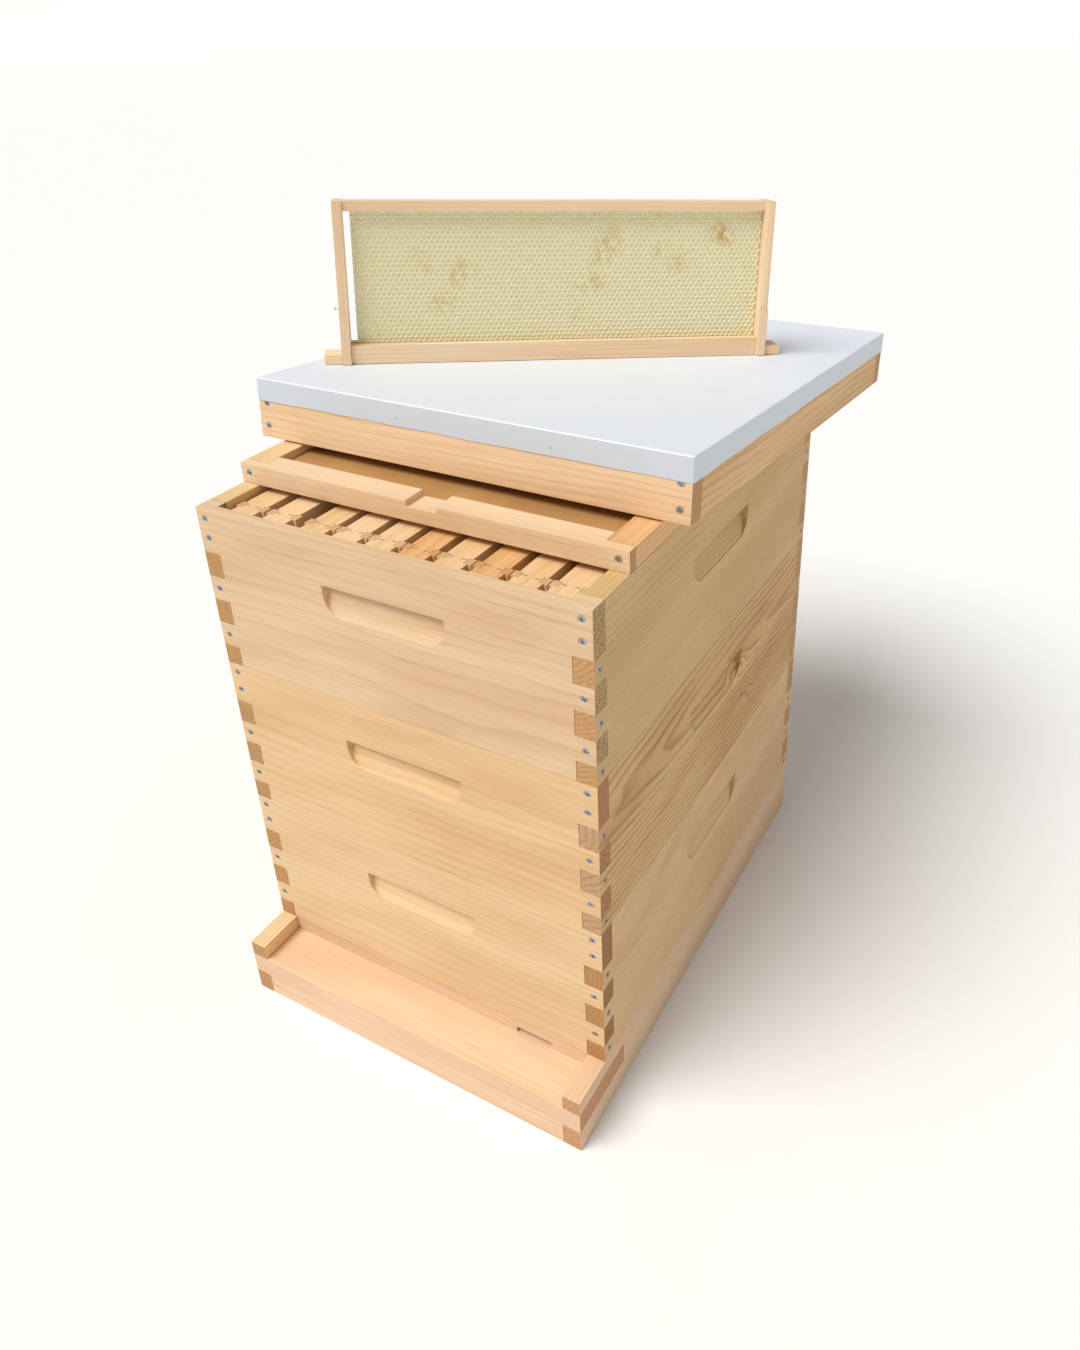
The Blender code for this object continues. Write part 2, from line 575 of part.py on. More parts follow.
def add_spare_frame(stand, parent):
    """One frame in its separate pieces, upside down on the cover's sheet."""
    spare = add_empty("spare_frame", parent, (SPARE_X, SPARE_Y, stand + GAP),
                      (math.pi, 0, SPARE_TURN + math.pi / 2))
    top_half = TOP_BAR_WIDTH / 2
    neck = top_half - TOP_BAR_SHOULDER
    top_bar = add_box("spare_frame_top_bar", (-top_half, -LUG_END, -TOP_BAR_THICKNESS),
                      (top_half, LUG_END, 0), FRAME_PINE, spare)
    bottom_bar = add_box("spare_frame_bottom_bar", (-BOTTOM_BAR_WIDTH / 2, -END_BAR_OUTER, -FRAME_HEIGHT),
                         (BOTTOM_BAR_WIDTH / 2, END_BAR_OUTER, -FRAME_HEIGHT + BOTTOM_BAR_THICKNESS),
                         FRAME_PINE, spare)
    for side, name in ((-1, "left"), (1, "right")):
        under_low, under_high = sorted((side * (END_BAR_OUTER + GAP), side * HALF_DEPTH))
        cut_box(top_bar, (-HALF_WIDTH, under_low, -HALF_DEPTH),
                (HALF_WIDTH, under_high, -LUG_THICKNESS), spare)
        neck_low, neck_high = sorted((side * (END_BAR_INNER - GAP), side * (END_BAR_OUTER + GAP)))
        for left, right in ((-HALF_WIDTH, -neck), (neck, HALF_WIDTH)):
            cut_box(top_bar, (left, neck_low, -HALF_DEPTH), (right, neck_high, BOARD), spare)
        low_y, high_y = sorted((side * END_BAR_INNER, side * END_BAR_OUTER))
        end_bar = add_box("spare_frame_%s_end_bar" % name, (-END_BAR_WIDTH / 2, low_y, -FRAME_HEIGHT),
                          (END_BAR_WIDTH / 2, high_y, 0), FRAME_PINE, spare)
        narrow = END_BAR_WIDTH / 2 - END_BAR_STEP
        for left, right in ((-HALF_WIDTH, -narrow), (narrow, HALF_WIDTH)):
            cut_box(end_bar, (left, low_y - BOARD, -HALF_DEPTH),
                    (right, high_y + BOARD, -END_BAR_WIDE_HEIGHT), spare)
        cut_box(end_bar, (-neck - GAP, low_y - BOARD, -TOP_BAR_THICKNESS - GAP),
                (neck + GAP, high_y + BOARD, BOARD), spare)
        foot = BOTTOM_BAR_WIDTH / 2 + GAP
        cut_box(end_bar, (-foot, low_y - BOARD, -HALF_DEPTH),
                (foot, high_y + BOARD, -FRAME_HEIGHT + BOTTOM_BAR_THICKNESS + GAP), spare)
    cut_groove(top_bar, -TOP_BAR_THICKNESS, 1, spare)
    cut_groove(bottom_bar, -FRAME_HEIGHT + BOTTOM_BAR_THICKNESS, -1, spare)
    add_box("spare_frame_foundation", *foundation_corners(SPARE_SHORT), WAXED_PLASTIC, spare)


# The whole hive -------------------------------------------------------------------------

def stand_on_origin(root):
    """Move the root so that the hive's box stands centred on the origin."""
    scene_now = bpy.context.evaluated_depsgraph_get()
    corners = []
    for piece in HIVE.objects:
        if piece.type == 'MESH':
            solid = piece.evaluated_get(scene_now)
            corners += [solid.matrix_world @ vert.co for vert in solid.data.vertices]
    for axis in (0, 1):
        values = [corner[axis] for corner in corners]
        root.location[axis] -= (min(values) + max(values)) / 2


ROOT = add_empty("hive_origin")
add_bottom_board(ROOT)
add_entrance_reducer(ROOT)
super_base = STAND_HEIGHT + GAP
for level, level_name in enumerate(SUPER_NAMES):
    add_super(level, super_base, ROOT)
    if level_name == "upper":
        add_hanging_frames(super_base + BOX_HEIGHT, ROOT)
    else:
        add_frame_set(level_name + "_frame_set", super_base + BOX_HEIGHT, ROOT)
    super_base += BOX_HEIGHT + GAP
add_inner_cover(super_base, ROOT)
COVER, COVER_TOP = add_outer_cover(super_base + INNER_THICKNESS, ROOT)
add_spare_frame(COVER_TOP, COVER)
stand_on_origin(ROOT)
bpy.context.view_layer.update()
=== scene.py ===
"""How a ten-frame beehive looks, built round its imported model.

Lengths are in metres, +Z is up and -Y is the front. Patterns inside materials are in
millimetres.
"""

import math
import random

import bmesh
import bpy
from mathutils import Matrix, Vector, noise


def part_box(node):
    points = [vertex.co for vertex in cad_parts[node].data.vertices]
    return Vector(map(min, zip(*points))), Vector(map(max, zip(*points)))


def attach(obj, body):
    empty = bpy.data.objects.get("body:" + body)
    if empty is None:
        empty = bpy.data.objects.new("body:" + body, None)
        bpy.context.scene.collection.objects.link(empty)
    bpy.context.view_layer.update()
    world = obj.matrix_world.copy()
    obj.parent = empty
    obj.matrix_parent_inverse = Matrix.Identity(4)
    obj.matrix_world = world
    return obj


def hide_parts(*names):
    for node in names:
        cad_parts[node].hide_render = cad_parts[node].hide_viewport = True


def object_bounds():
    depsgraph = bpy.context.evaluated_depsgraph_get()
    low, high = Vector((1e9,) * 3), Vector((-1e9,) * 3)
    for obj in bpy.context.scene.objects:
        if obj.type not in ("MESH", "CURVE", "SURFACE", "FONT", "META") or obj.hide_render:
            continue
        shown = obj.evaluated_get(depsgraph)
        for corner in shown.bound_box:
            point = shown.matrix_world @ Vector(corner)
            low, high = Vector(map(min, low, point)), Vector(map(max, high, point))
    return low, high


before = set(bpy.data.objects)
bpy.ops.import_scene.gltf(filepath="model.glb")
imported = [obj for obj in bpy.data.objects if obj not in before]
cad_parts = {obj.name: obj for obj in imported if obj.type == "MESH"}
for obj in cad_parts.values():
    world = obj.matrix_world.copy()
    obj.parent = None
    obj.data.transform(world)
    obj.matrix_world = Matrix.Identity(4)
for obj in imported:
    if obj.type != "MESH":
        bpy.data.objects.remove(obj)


# Bottom board --------------------------------------------------------------------------------
# Two grooved rails of planed pine hold three floor boards that run across the hive, with an
# apron under the landing and a cleat across the back. Nails through the rails hold them.

cad_box = [list(corner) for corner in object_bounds()]
HIVE_MIDDLE = (Vector(cad_box[0]) + Vector(cad_box[1])) / 2
MM_PER_METRE = 1000.0
EASED_EDGE = 0.00035
SHARP_ANGLE = math.radians(35)
WELD = 0.00001


def linear(colour):
    """An sRGB hex colour as linear red, green, blue and an opaque alpha."""
    channels = []
    for start in (1, 3, 5):
        value = int(colour[start:start + 2], 16) / 255
        channels.append(value / 12.92 if value <= 0.04045 else ((value + 0.055) / 1.055) ** 2.4)
    return (*channels, 1.0)


def add_node(tree, kind, inputs=None, **settings):
    """Add a shader node with its settings, and give its inputs their values or links."""
    made = tree.nodes.new("ShaderNode" + kind)
    stops = settings.pop("stops", None)
    for setting, value in settings.items():
        setattr(made, setting, value)
    if stops:
        elements = made.color_ramp.elements
        for position, _ in stops[1:-1]:
            elements.new(position)
        for element, (position, level) in zip(elements, stops):
            element.position = position
            element.color = (level, level, level, 1.0)
    for name, value in (inputs or {}).items():
        if isinstance(value, bpy.types.ShaderNode):
            value = value.outputs[0]
        if isinstance(value, bpy.types.NodeSocket):
            tree.links.new(value, made.inputs[name])
        else:
            made.inputs[name].default_value = value
    return made


def new_material(name):
    """A material whose node tree is still empty."""
    material = bpy.data.materials.new(name)
    material.use_nodes = True
    material.node_tree.nodes.clear()
    return material, material.node_tree


def board_space(tree, board):
    """A piece's coordinates, and the same turned to a board's own axes, in millimetres."""
    turn = board.to_3x3().transposed()
    place = add_node(tree, "TexCoord")
    local = add_node(tree, "Mapping", {
        "Vector": place.outputs["Object"], "Scale": (MM_PER_METRE,) * 3,
        "Location": turn @ board.translation * -MM_PER_METRE, "Rotation": turn.to_euler()})
    return place, local


def growth_rings(tree, slow, bent, pith, tilt, ring, knots):
    """The summerwood of the rings round a pith, how uneven they are, and the knots' hearts.

    Rings swing out round a knot. A knot is its place along and over the board and its size,
    in mm, and how dark its heart is.
    """
    log = add_node(tree, "Mapping", {
        "Vector": bent, "Location": (0.0, -pith[0], -pith[1]), "Rotation": (0.0, tilt, tilt / 2)})
    across = add_node(tree, "VectorMath", {0: log, 1: (0.0, 1.0, 1.0)}, operation='MULTIPLY')
    radius = add_node(tree, "VectorMath", {0: across}, operation='LENGTH').outputs["Value"]
    heart = None
    for along, over, size, darkness in knots:
        flat = add_node(tree, "VectorMath", {0: bent, 1: (0.5, 1.0, 0.0)}, operation='MULTIPLY')
        apart = add_node(tree, "VectorMath", {
            0: flat, 1: (along * 0.5, over, 0.0)}, operation='DISTANCE').outputs["Value"]
        nearness = add_node(tree, "MapRange", {
            "Value": apart, "From Max": size * 4.0, "To Min": size * 2.2, "To Max": 0.0},
            interpolation_type='SMOOTHERSTEP')
        radius = add_node(tree, "Math", {0: radius, 1: nearness}, operation='ADD')
        core = add_node(tree, "MapRange", {
            "Value": apart, "From Min": size * 0.28, "From Max": size * 0.42,
            "To Min": darkness, "To Max": 0.0})
        heart = core if heart is None else add_node(
            tree, "Math", {0: heart, 1: core}, operation='MAXIMUM')
    uneven = add_node(tree, "TexNoise", {"Vector": slow, "Scale": 0.045, "Detail": 2.0})
    rings = add_node(tree, "Math", {0: radius, 1: 1.0 / ring, 2: uneven}, operation='MULTIPLY_ADD')
    within = add_node(tree, "Math", {0: rings}, operation='FRACT')
    summer = add_node(tree, "ValToRGB", {"Fac": within}, stops=(
        (0.0, 0.12), (0.5, 0.2), (0.84, 0.9), (0.94, 1.0), (1.0, 0.12)))
    return summer, uneven, heart


def end_grain(tree, place, local, board, summer, end, ends_from, sawn):
    """Where sawn ends show, and their wood: darker, with the rings cut across and saw-rough."""
    grain = board.to_3x3().col[0]
    endwise = add_node(tree, "VectorMath", {
        0: place.outputs["Normal"], 1: grain}, operation='DOT_PRODUCT').outputs["Value"]
    facing = add_node(tree, "Math", {0: endwise}, operation='ABSOLUTE')
    at_end = add_node(tree, "MapRange", {"Value": facing, "From Min": 0.6, "From Max": 0.8})
    lengthwise = add_node(tree, "VectorMath", {
        0: local, 1: (1.0, 0.0, 0.0)}, operation='DOT_PRODUCT').outputs["Value"]
    from_middle = add_node(tree, "Math", {0: lengthwise}, operation='ABSOLUTE')
    outer = add_node(tree, "MapRange", {
        "Value": from_middle, "From Min": ends_from - 5, "From Max": ends_from + 5,
        "To Min": 0.05})
    at_end = add_node(tree, "Math", {0: at_end, 1: outer}, operation='MULTIPLY')
    speckle = add_node(tree, "TexNoise", {"Vector": local, "Scale": 0.6, "Detail": 3.0})
    roughened = add_node(tree, "MapRange", {
        "Value": speckle, "From Min": 0.35, "From Max": 0.65, "To Min": 1 - 1.5 * sawn,
        "To Max": 1 + sawn})
    end_rings = add_node(tree, "Math", {0: summer, 1: 0.4}, operation='MULTIPLY')
    end_wood = add_node(tree, "MixRGB", {
        "Fac": end_rings, "Color1": linear(end), "Color2": linear("#8F5F33")})
    end_wood = add_node(tree, "VectorMath", {0: end_wood, "Scale": roughened}, operation='SCALE')
    return at_end, end_wood


def pine(name, board, early, late, end, pith=(35, -70), ring=4.5, figure=0.5, drift=5.0,
         tilt=0.0, knots=(), ends_from=100.0, sawn=0.1):
    """Planed pine, patterned as the log was: rings round a pith, fibres along the board.

    The board's matrix has its grain along X and its face across Y, out of Z. Pale springwood
    and thin dark summerwood make the bands. The sawn ends of a board, further from its middle
    than ends_from, drink up light and look darker than the planed faces. Sizes are in mm.
    Real fibres and resin ducts are too fine to show, so both are drawn several times as coarse.
    """
    material, tree = new_material(name)
    place, local = board_space(tree, board)
    slow = add_node(tree, "Mapping", {"Vector": local, "Scale": (0.22, 1.0, 1.0)})
    drifting = add_node(tree, "TexNoise", {"Vector": slow, "Scale": 0.013, "Detail": 2.0})
    bent = add_node(tree, "VectorMath", {
        0: drifting.outputs["Color"], 1: (2 * drift,) * 3, 2: local}, operation='MULTIPLY_ADD')
    summer, uneven, heart = growth_rings(tree, slow, bent, pith, tilt, ring, knots)
    strength = add_node(tree, "MapRange", {
        "Value": uneven, "From Min": 0.3, "From Max": 0.7,
        "To Min": figure * 0.35, "To Max": figure})
    banding = add_node(tree, "Math", {0: summer, 1: strength}, operation='MULTIPLY')
    wood = add_node(tree, "MixRGB", {
        "Fac": banding, "Color1": linear(early), "Color2": linear(late)})
    strands = add_node(tree, "Mapping", {"Vector": local, "Scale": (0.018, 1.0, 1.0)})
    fibres = add_node(tree, "TexNoise", {
        "Vector": strands, "Scale": 0.5, "Detail": 4.0, "Roughness": 0.62})
    shade = add_node(tree, "MapRange", {
        "Value": fibres, "From Min": 0.28, "From Max": 0.72, "To Min": 0.89, "To Max": 1.07})
    wood = add_node(tree, "VectorMath", {0: wood, "Scale": shade}, operation='SCALE')
    patches = add_node(tree, "TexNoise", {"Vector": slow, "Scale": 0.02, "Detail": 1.0})
    patchy = add_node(tree, "MapRange", {
        "Value": patches, "From Min": 0.4, "From Max": 0.7, "To Max": 0.4})
    wood = add_node(tree, "MixRGB", {"Fac": patchy, "Color1": wood, "Color2": linear(late)})
    ducts = add_node(tree, "Mapping", {"Vector": local, "Scale": (0.07, 1.0, 1.0)})
    duct_spots = add_node(tree, "TexNoise", {"Vector": ducts, "Scale": 0.8, "Detail": 0.0})
    duct_shade = add_node(tree, "MapRange", {
        "Value": duct_spots, "From Min": 0.74, "From Max": 0.82, "To Max": 0.35})
    wood = add_node(tree, "MixRGB", {
        "Fac": duct_shade, "Color1": wood, "Color2": linear(late)})
    if heart is not None:
        wood = add_node(tree, "MixRGB", {
            "Fac": heart, "Color1": wood, "Color2": linear("#6E4524")})
    at_end, end_wood = end_grain(tree, place, local, board, summer, end, ends_from, sawn)
    surface = add_node(tree, "MixRGB", {"Fac": at_end, "Color1": wood, "Color2": end_wood})
    relief = add_node(tree, "Bump", {"Height": fibres, "Strength": 0.5, "Distance": 0.00025})
    shader = add_node(tree, "BsdfPrincipled", {
        "Base Color": surface, "Roughness": 0.62, "IOR": 1.45, "Normal": relief})
    add_node(tree, "OutputMaterial", {"Surface": shader})
    return material


def merged(node):
    """A bmesh copy of a CAD node, with its loose triangles merged into flat faces."""
    form = bmesh.new()
    form.from_mesh(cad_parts[node].data)
    bmesh.ops.remove_doubles(form, verts=form.verts, dist=WELD)
    bmesh.ops.dissolve_limit(form, angle_limit=math.radians(1), verts=form.verts,
                             edges=form.edges)
    return form


def corners(points):
    """The lowest and the highest corner of the box round some points."""
    return (Vector([min(point[axis] for point in points) for axis in range(3)]),
            Vector([max(point[axis] for point in points) for axis in range(3)]))


def board_axes(form):
    """A board's own axes: grain along its longest edge, Z out of its largest face."""
    longest = max(form.edges, key=lambda edge: edge.calc_length())
    grain = (longest.verts[1].co - longest.verts[0].co).normalized()
    if max(grain, key=abs) < 0:
        grain = -grain
    out = max(form.faces, key=lambda face: face.calc_area()).normal.copy()
    turned = Matrix((grain, out.cross(grain), out)).transposed()
    low, high = corners([turned.transposed() @ vert.co for vert in form.verts])
    middle = (low + high) / 2
    if out.dot(turned @ middle - HIVE_MIDDLE) < 0:
        turned = turned @ Matrix.Diagonal((1, -1, -1))
        middle = Vector((middle.x, -middle.y, -middle.z))
    return Matrix.Translation(turned @ middle) @ turned.to_4x4()


def ease(form, offset=EASED_EDGE):
    """Take the sharpness off a board's edges."""
    sharp = []
    for edge in form.edges:
        if edge.is_manifold and edge.calc_face_angle() > SHARP_ANGLE:
            sharp.append(edge)
    bmesh.ops.bevel(form, geom=sharp, offset=offset, offset_type='OFFSET', segments=2,
                    profile=0.5, affect='EDGES', material=-1, clamp_overlap=True)
    return form


def add_piece(name, form, materials, body, slot, *nodes):
    """Make a piece from its bmesh and set it on its body, in place of any CAD nodes."""
    mesh = bpy.data.meshes.new(name)
    form.to_mesh(mesh)
    form.free()
    for material in materials:
        mesh.materials.append(material)
    piece = bpy.data.objects.new(name, mesh)
    bpy.context.scene.collection.objects.link(piece)
    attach(piece, body)
    if nodes:
        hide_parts(*nodes)
    return piece


PALE = ("#ECCDA0", "#CF9F68", "#C0935F")
YELLOW = ("#ECCB98", "#CB985A", "#C4945A")
ROSY = ("#EBCBA9", "#D5A479", "#CF9A6B")
BOTTOM_LOOKS = {
    "bottom_rail_left": (PALE, (20, -60)),
    "bottom_rail_right": (ROSY, (60, -40)),
    "bottom_floor_front": (ROSY, (90, -55)),
    "bottom_floor_middle": (PALE, (-70, -80)),
    "bottom_floor_rear": (YELLOW, (60, -75)),
    "bottom_apron": (ROSY, (25, -90)),
    "bottom_rear_cleat": (PALE, (40, -60)),
}
for node, (colours, pith) in BOTTOM_LOOKS.items():
    form = merged(node)
    wood = pine("pine_" + node, board_axes(form), *colours, pith=pith, figure=0.45)
    add_piece(node + "_board", ease(form), [wood], "bottom_board", "pine", node)


# Zinc fasteners ------------------------------------------------------------------------------
# Zinc-plated steel: countersunk cross-head screws through the box joints and rims, round
# wire nails in the metal and the bottom rails, and wire staples in the frames.

HEAD_RADIUS = 0.0032
HEAD_DEPTH = 0.0014
HEAD_SUNK = 0.0004
SEAT_RADIUS = 0.0036
CROSS_LENGTH = 0.0042
CROSS_WIDTH = 0.0012
CROSS_DEPTH = 0.0011
SEAT_DEPTH = 0.0024
turns = random.Random(4)


def zinc_plate():
    """Bright zinc plate on steel: cool grey, half matt, with darker dull patches."""
    material, tree = new_material("zinc_plated_steel")
    place = add_node(tree, "TexCoord")
    local = add_node(tree, "Mapping", {
        "Vector": place.outputs["Object"], "Scale": (MM_PER_METRE,) * 3})
    dull = add_node(tree, "TexNoise", {"Vector": local, "Scale": 0.7, "Detail": 3.0})
    tone = add_node(tree, "MixRGB", {
        "Fac": dull, "Color1": linear("#CBD0D5"), "Color2": linear("#868D93")})
    rough = add_node(tree, "MapRange", {"Value": dull, "To Min": 0.2, "To Max": 0.42})
    shader = add_node(tree, "BsdfPrincipled", {
        "Base Color": tone, "Metallic": 1.0, "Roughness": rough})
    add_node(tree, "OutputMaterial", {"Surface": shader})
    return material


def cut_away(form, tools):
    """The bmesh with the solid of another bmesh cut out of it."""
    made = []
    for name, source in (("board_to_cut", form), ("cutting_tools", tools)):
        mesh = bpy.data.meshes.new(name)
        source.to_mesh(mesh)
        source.free()
        item = bpy.data.objects.new(name, mesh)
        bpy.context.scene.collection.objects.link(item)
        made.append(item)
    board, cutter = made
    cut = board.modifiers.new("cut", 'BOOLEAN')
    cut.object = cutter
    cut.operation = 'DIFFERENCE'
    cut.solver = 'EXACT'
    scene_now = bpy.context.evaluated_depsgraph_get()
    mesh = bpy.data.meshes.new_from_object(board.evaluated_get(scene_now))
    result = bmesh.new()
    result.from_mesh(mesh)
    for item in made:
        bpy.data.objects.remove(item, do_unlink=True)
    return result


def driven(point, out):
    """Where a screw or nail sits: Z out of the wood, turned as it happened to stop."""
    upright = Vector(out).to_track_quat('Z', 'Y').to_matrix().to_4x4()
    return Matrix.Translation(point) @ upright @ Matrix.Rotation(turns.uniform(0, math.pi), 4, 'Z')


def screw_head():
    """A countersunk head with a cross recess, its top at the origin."""
    head = bmesh.new()
    bmesh.ops.create_cone(head, cap_ends=True, segments=18, radius1=HEAD_RADIUS * 0.55,
                          radius2=HEAD_RADIUS, depth=HEAD_DEPTH,
                          matrix=Matrix.Translation((0, 0, -HEAD_DEPTH / 2)))
    for turn in (0, math.pi / 2):
        arm = bmesh.new()
        size = Matrix.Diagonal((CROSS_LENGTH, CROSS_WIDTH, 2 * CROSS_DEPTH, 1))
        bmesh.ops.create_cube(arm, size=1.0, matrix=Matrix.Rotation(turn, 4, 'Z') @ size)
        head = cut_away(head, arm)
    mesh = bpy.data.meshes.new("screw_head")
    head.to_mesh(mesh)
    head.free()
    return mesh


SCREW_HEAD = screw_head()
ZINC = zinc_plate()


def countersink(form, places):
    """Bore a cone-shaped seat into a board for each screw."""
    seats = bmesh.new()
    for place in places:
        bmesh.ops.create_cone(seats, cap_ends=True, segments=20, radius1=SEAT_RADIUS * 0.6,
                              radius2=SEAT_RADIUS * 1.1, depth=SEAT_DEPTH,
                              matrix=place @ Matrix.Translation((0, 0, -SEAT_DEPTH / 3)))
    return cut_away(form, seats)


def add_copy(form, mesh, place):
    """Add a copy of a mesh to a bmesh, at its place."""
    copy = mesh.copy()
    copy.transform(place)
    form.from_mesh(copy)
    bpy.data.meshes.remove(copy)


def add_screws(name, places, body):
    """The screws of one assembly, each a little below the wood."""
    heads = bmesh.new()
    sunk = Matrix.Translation((0, 0, -HEAD_SUNK))
    for place in places:
        add_copy(heads, SCREW_HEAD, place @ sunk)
    add_piece(name, heads, [ZINC], body, "zinc_fasteners")


RAIL_NAIL_RADIUS = 0.0014
RAIL_NAIL_PROUD = 0.0004
OUTWARDS = {"front": (0, -1, 0), "rear": (0, 1, 0), "left": (-1, 0, 0), "right": (1, 0, 0)}
rail_nails = bmesh.new()
for side in ("left", "right"):
    low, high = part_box("bottom_rail_" + side)
    face = low.x if side == "left" else high.x
    # One nail at the front, one at the back and two between them.
    for along, rise in ((low.y + 0.0076, 0.018), (high.y - 0.0066, 0.0045),
                        (low.y + 0.21, 0.037), (high.y - 0.19, 0.037)):
        bmesh.ops.create_cone(rail_nails, cap_ends=True, segments=12, radius1=RAIL_NAIL_RADIUS,
                              radius2=RAIL_NAIL_RADIUS * 0.8, depth=RAIL_NAIL_PROUD,
                              matrix=driven((face, along, rise), OUTWARDS[side]))
add_piece("bottom_rail_nails", rail_nails, [ZINC], "bottom_board", "zinc_fasteners")


# Entrance reducer ----------------------------------------------------------------------------
# A loose strip of pine that closes the entrance but for a slot at its lower edge, at the
# right. It slides out onto the landing.

form = merged("entrance_reducer")
wood = pine("pine_reducer", board_axes(form), *ROSY, pith=(30, -30), figure=0.35)
add_piece("reducer_strip", ease(form), [wood], "reducer", "pine", "entrance_reducer")


# Supers --------------------------------------------------------------------------------------
# Three boxes of planed pine boards with glued box joints. A screw goes through each finger
# into the end grain behind it, and each board has a milled handhold.

SCREW_FROM_EDGE = 0.0097
FRONT_SCREW_DROPS = (0.010, 0.030, 0.0835, 0.1345)
SIDE_SCREW_DROPS = (0.058, 0.109, 0.158)
SUPER_LOOKS = {
    "lower": {
        "front": (("#EACA9D", "#CE9F69", "#A3703F"),
                  dict(pith=(-95, -60), ring=7.0, drift=8.0, figure=0.38)),
        "rear": (PALE, dict(pith=(60, -80), figure=0.5)),
        "left": (YELLOW, dict(pith=(70, -70), figure=0.5, tilt=0.02)),
        "right": (("#E0BE8F", "#C99866", "#BC8A55"),
                  dict(pith=(60, -160), figure=0.45, tilt=0.03, drift=9.0,
                       knots=((-33, 0, 1.6, 0.7),))),
    },
    "middle": {
        "front": (("#E9C596", "#C9975C", "#B37F52"),
                  dict(pith=(80, -75), ring=8.0, drift=9.0, figure=0.42)),
        "rear": (YELLOW, dict(pith=(-60, -90), figure=0.5)),
        "left": (PALE, dict(pith=(-80, -80), figure=0.45)),
        "right": (("#DDB981", "#A96C34", "#C4A078"),
                  dict(pith=(48, -18), figure=1.0, tilt=0.05, drift=12.0, ring=6.5,
                       knots=((88, -18, 6.0, 0.95), (66, 30, 5.0, 0.0)))),
    },
    "upper": {
        "front": (("#E5C6A0", "#C99B6C", "#BC9A68"),
                  dict(pith=(-70, -95), ring=8.0, drift=9.0, figure=0.45, sawn=0.35)),
        "rear": (PALE, dict(pith=(85, -60), figure=0.5)),
        "left": (YELLOW, dict(pith=(-60, -60), figure=0.5)),
        "right": (("#D6B680", "#B88B50", "#CD9C68"),
                  dict(pith=(110, -55), figure=0.55,
                       knots=((62, 32, 2.2, 0.6), (112, 58, 3.2, 0.6)))),
    },
}


def board_screws(side, low, high):
    """The screws in one board of a super, near both of its ends."""
    drops = FRONT_SCREW_DROPS if side in ("front", "rear") else SIDE_SCREW_DROPS
    places = []
    for drop in drops:
        for end in (-1, 1):
            if side in ("front", "rear"):
                along = (low.x + high.x) / 2 + end * ((high.x - low.x) / 2 - SCREW_FROM_EDGE)
                point = (along, low.y if side == "front" else high.y, high.z - drop)
            else:
                along = (low.y + high.y) / 2 + end * ((high.y - low.y) / 2 - SCREW_FROM_EDGE)
                point = (low.x if side == "left" else high.x, along, high.z - drop)
            places.append(driven(point, OUTWARDS[side]))
    return places


for level, sides in SUPER_LOOKS.items():
    all_screws = []
    for side, (colours, look) in sides.items():
        node = level + "_super_" + side
        form = merged(node)
        wood = pine("pine_" + node, board_axes(form), *colours, **look)
        places = board_screws(side, *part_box(node))
        all_screws += places
        form = countersink(ease(form), places)
        add_piece(node + "_board", form, [wood], level + "_super", "pine", node)
    add_screws(level + "_super_screws", all_screws, level + "_super")


# Frames --------------------------------------------------------------------------------------
# Each frame is a top bar with lugs, two end bars and a bottom bar of sawn pine, glued and
# stapled, round a sheet of foundation. All frames are of one pattern, the spare one's.

STAPLE_LENGTH = 0.0052
STAPLE_WIRE = 0.0007
CELL_WIDTH = 0.0053         # between the flat sides of a cell
CELL_ROW = CELL_WIDTH * math.sqrt(3) / 2    # from one row of cells to the next
CELL_WALL = 0.0011
CELL_SLOPE = 0.0006
CELL_DEPTH = 0.0011
STAPLE_STRAY = 0.0015       # how far a staple sits from its mark
STAPLE_TURN = 0.15          # and how far it is turned, in radians
FRAME_BARS = ("top_bar", "bottom_bar")
FRAME_ENDS = ("left_end_bar", "right_end_bar")


def spare_frame_place():
    """The spare frame's matrix: origin mid-way along its top bar's top, Y along, Z up it."""
    form = merged("spare_frame_top_bar")
    bar = board_axes(form)
    along = bar.to_3x3().col[0]
    out = bar.to_3x3().col[2]
    up = -out if out.z > 0 else out
    axes = Matrix((along.cross(up), along, up)).transposed().to_4x4()
    back = axes.inverted()
    low, high = corners([back @ vert.co for vert in form.verts])
    form.free()
    middle = (low + high) / 2
    return axes @ Matrix.Translation((middle.x, middle.y, high.z))


SPARE_PLACE = spare_frame_place()
to_pattern = SPARE_PLACE.inverted()
PATTERN = {}
for part in FRAME_BARS + FRAME_ENDS:
    form = merged("spare_frame_" + part)
    bmesh.ops.transform(form, matrix=to_pattern, verts=form.verts)
    ease(form, 0.0003)
    PATTERN[part] = bpy.data.meshes.new(part)
    form.to_mesh(PATTERN[part])
    form.free()


def frame_wood(place):
    """One frame's four bars. The end bars take the second material, as their grain is upright."""
    form = bmesh.new()
    for part, mesh in PATTERN.items():
        before = len(form.faces)
        add_copy(form, mesh, place)
        form.faces.ensure_lookup_table()
        for face in form.faces[before:]:
            face.material_index = 1 if part in FRAME_ENDS else 0
    return form


def top_staples(form, place, reach, half_width):
    """Two staples across each end of a top bar, their crowns just below its face."""
    for end in (-1, 1):
        for across in (-0.45, 0.45):
            stray = turns.uniform(-STAPLE_STRAY, STAPLE_STRAY)
            point = Vector((across * half_width, end * reach + stray, 0))
            lean = Matrix.Rotation(turns.uniform(-STAPLE_TURN, STAPLE_TURN), 4, 'Z')
            size = Matrix.Diagonal((STAPLE_LENGTH, STAPLE_WIRE, STAPLE_WIRE, 1))
            bmesh.ops.create_cube(form, size=1.0,
                                  matrix=place @ Matrix.Translation(point) @ lean @ size)


